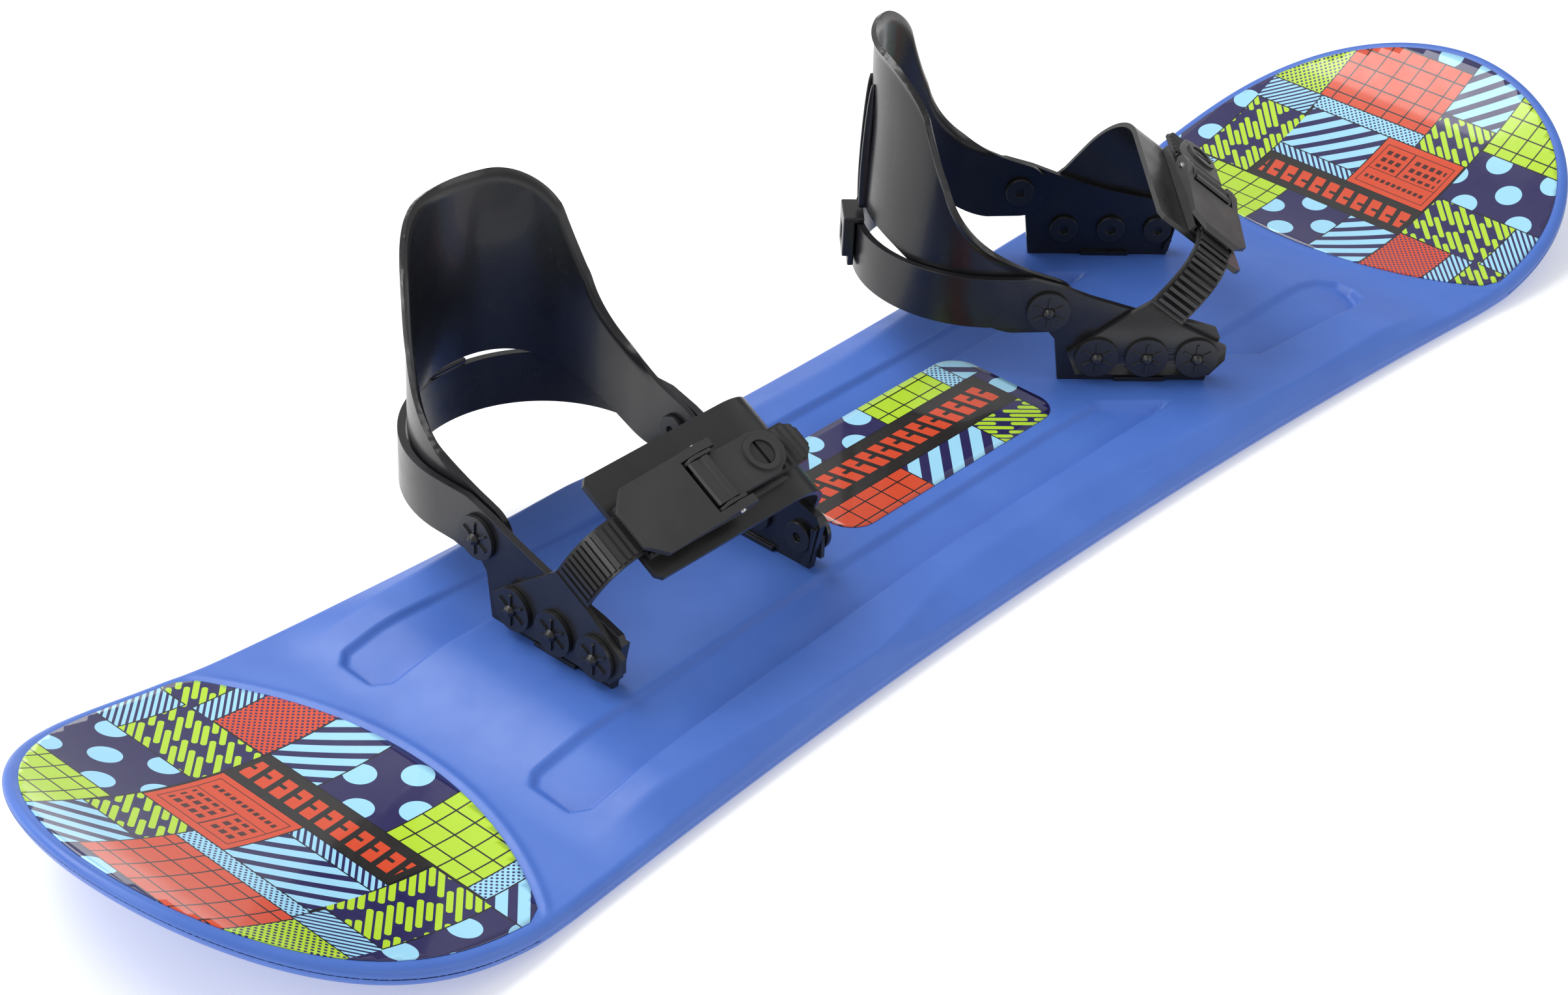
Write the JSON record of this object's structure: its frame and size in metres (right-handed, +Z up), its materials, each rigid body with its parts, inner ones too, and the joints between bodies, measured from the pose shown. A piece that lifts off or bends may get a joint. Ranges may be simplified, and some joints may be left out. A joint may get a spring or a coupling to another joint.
{
  "type": "snowboard with bindings",
  "caption": "Small twin-tip snowboard with a grooved deck, patchwork tip stickers and two strap bindings with folding highbacks and ratchet toe straps.",
  "frame": {"origin": "middle of the board's length and width, on the flat middle of its underside, 7 mm above the ground the board rests on", "axes": "+X along the board towards the binding that is turned 45 degrees, +Y towards the heel edge, +Z up"},
  "size_m": [0.95, 0.253, 0.1665],
  "materials": {
    "deck_blue": "satin moulded blue",
    "sticker_print": "glossy printed film",
    "frame_black": "semi-gloss moulded",
    "highback_black": "glossy moulded",
    "rivet_black": "satin moulded",
    "strap_black": "satin flexible",
    "buckle_black": "satin moulded",
    "axle_steel": "plain"
  },
  "bodies": {
    "board": {"board_deck": "deck_blue", "tail_sticker": "sticker_print", "nose_sticker": "sticker_print", "centre_sticker": "sticker_print", "rear_frame": "frame_black", "rear_lean_clip": "frame_black", "rear_pivot_rivets": "rivet_black", "rear_pivot_caps": "rivet_black", "rear_rail_rivets": "rivet_black", "rear_rail_caps": "rivet_black", "rear_ladder": "strap_black", "rear_toe_pad": "strap_black", "rear_buckle_base": "buckle_black", "rear_axle_pin": "axle_steel", "front_frame": "frame_black", "front_lean_clip": "frame_black", "front_pivot_rivets": "rivet_black", "front_pivot_caps": "rivet_black", "front_rail_rivets": "rivet_black", "front_rail_caps": "rivet_black", "front_ladder": "strap_black", "front_toe_pad": "strap_black", "front_buckle_base": "buckle_black", "front_axle_pin": "axle_steel"},
    "rear_highback": {"rear_highback": "highback_black"},
    "rear_lever": {"rear_buckle_lever": "buckle_black"},
    "rear_tongue": {"rear_release_tongue": "buckle_black", "rear_slotted_stud": "rivet_black"},
    "front_highback": {"front_highback": "highback_black"},
    "front_lever": {"front_buckle_lever": "buckle_black"},
    "front_tongue": {"front_release_tongue": "buckle_black", "front_slotted_stud": "rivet_black"}
  },
  "joints": [
    {"name": "rear_highback_fold", "type": "hinge", "parent": "board", "child": "rear_highback", "pos_m": [-0.1625, 0.0485, 0.0472], "axis": [1, 0, 0], "range_deg": [0, 75]},
    {"name": "rear_lever_lift", "type": "hinge", "parent": "board", "child": "rear_lever", "pos_m": [-0.1615, -0.0268, 0.08178], "axis": [0, 0.866, 0.5], "range_deg": [0, 75]},
    {"name": "rear_tongue_lift", "type": "hinge", "parent": "board", "child": "rear_tongue", "pos_m": [-0.1615, -0.0268, 0.08178], "axis": [0, -0.866, -0.5], "range_deg": [0, 30], "stiffness_Nm_per_rad": 0.03},
    {"name": "front_highback_fold", "type": "hinge", "parent": "board", "child": "front_highback", "pos_m": [0.13783, 0.04077, 0.0472], "axis": [0.7071, 0.7071, 0], "range_deg": [0, 75]},
    {"name": "front_lever_lift", "type": "hinge", "parent": "board", "child": "front_lever", "pos_m": [0.19656, -0.01654, 0.08107], "axis": [-0.5572, 0.5572, 0.6157], "range_deg": [0, 75]},
    {"name": "front_tongue_lift", "type": "hinge", "parent": "board", "child": "front_tongue", "pos_m": [0.19656, -0.01654, 0.08107], "axis": [0.5572, -0.5572, -0.6157], "range_deg": [0, 30], "stiffness_Nm_per_rad": 0.03}
  ]
}
